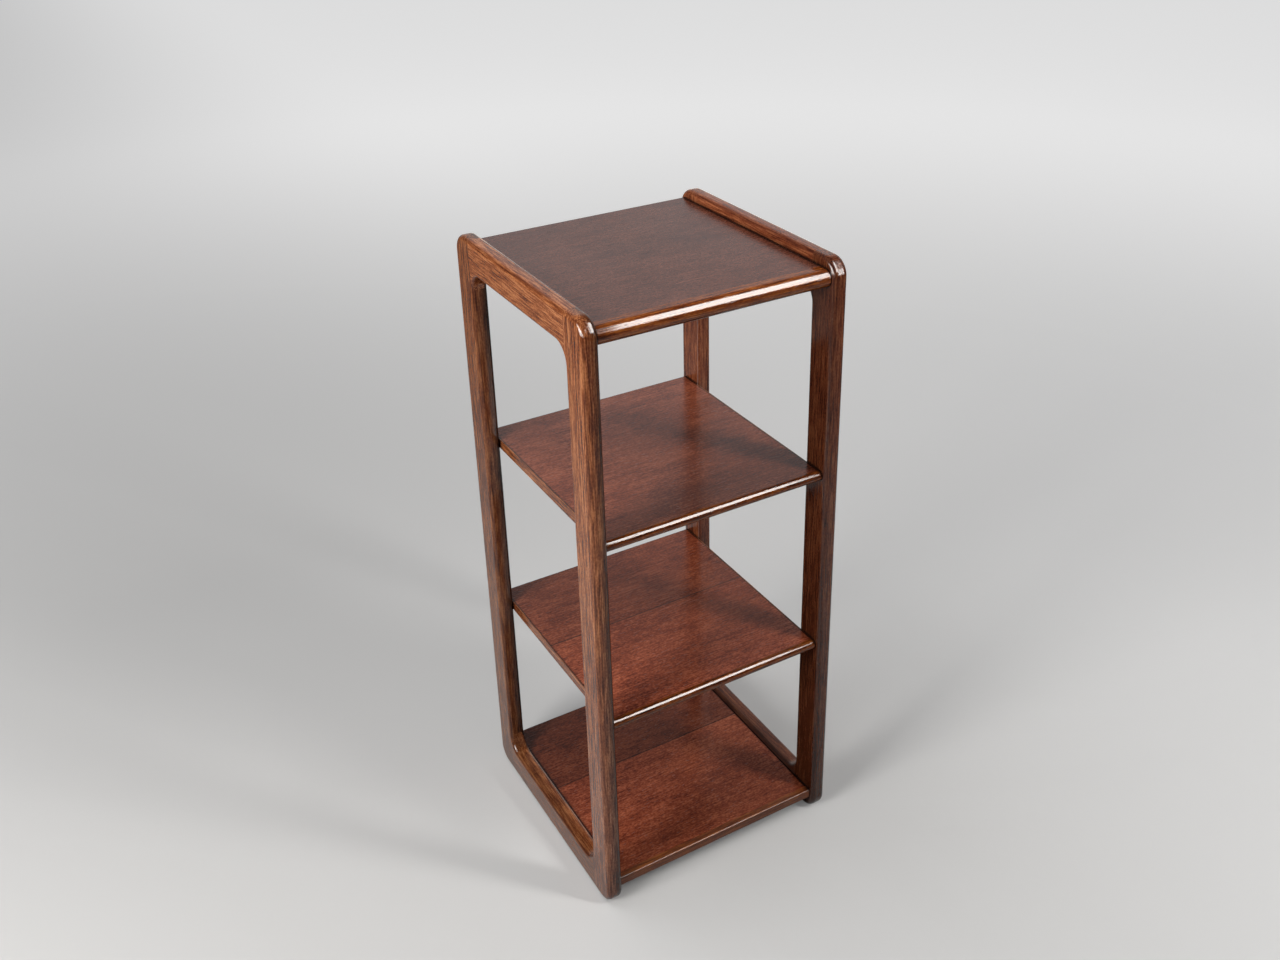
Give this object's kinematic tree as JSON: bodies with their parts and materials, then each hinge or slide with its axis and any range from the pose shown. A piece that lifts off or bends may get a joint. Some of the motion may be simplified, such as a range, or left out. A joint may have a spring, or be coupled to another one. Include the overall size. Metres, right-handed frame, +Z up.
{
  "type": "shelving unit",
  "caption": "Narrow open wooden shelving unit: two rounded side frames hold a top panel with a rounded nosing, two middle shelves and a bottom shelf.",
  "frame": {"origin": "on the floor, at the middle of the unit's width and depth", "axes": "+Z up, -Y to the front, +X to the right as seen from the front"},
  "size_m": [0.375, 0.37, 0.9],
  "materials": {
    "frame_wood": "satin lacquer over reddish-brown solid wood",
    "nosing_wood": "satin lacquer over reddish-brown solid wood",
    "veneer": "satin lacquer over dark reddish-brown veneer",
    "edge_band": "satin lacquer over a thin veneer band",
    "core_board": "unfinished board",
    "dowel_wood": "unfinished beech"
  },
  "bodies": {
    "root": {"left_front_stile": "frame_wood", "left_back_stile": "frame_wood", "left_top_rail": "frame_wood", "left_bottom_rail": "frame_wood", "left_frame_dowels": "dowel_wood", "right_front_stile": "frame_wood", "right_back_stile": "frame_wood", "right_top_rail": "frame_wood", "right_bottom_rail": "frame_wood", "right_frame_dowels": "dowel_wood", "top_panel_nosing": "nosing_wood", "top_panel_core": "core_board", "top_panel_top_veneer": "veneer", "top_panel_under_veneer": "veneer", "top_panel_back_band": "edge_band", "top_panel_dowels": "dowel_wood", "upper_shelf_lipping": "nosing_wood", "upper_shelf_core": "core_board", "upper_shelf_top_veneer": "veneer", "upper_shelf_under_veneer": "veneer", "upper_shelf_back_band": "edge_band", "upper_shelf_dowels": "dowel_wood", "lower_shelf_lipping": "nosing_wood", "lower_shelf_core": "core_board", "lower_shelf_top_veneer": "veneer", "lower_shelf_under_veneer": "veneer", "lower_shelf_back_band": "edge_band", "lower_shelf_dowels": "dowel_wood", "bottom_shelf_lipping": "nosing_wood", "bottom_shelf_core": "core_board", "bottom_shelf_top_veneer": "veneer", "bottom_shelf_under_veneer": "veneer", "bottom_shelf_back_band": "edge_band", "bottom_shelf_dowels": "dowel_wood", "upper_shelf_left_end_band": "edge_band", "upper_shelf_right_end_band": "edge_band", "lower_shelf_left_end_band": "edge_band", "lower_shelf_right_end_band": "edge_band"}
  },
  "joints": []
}
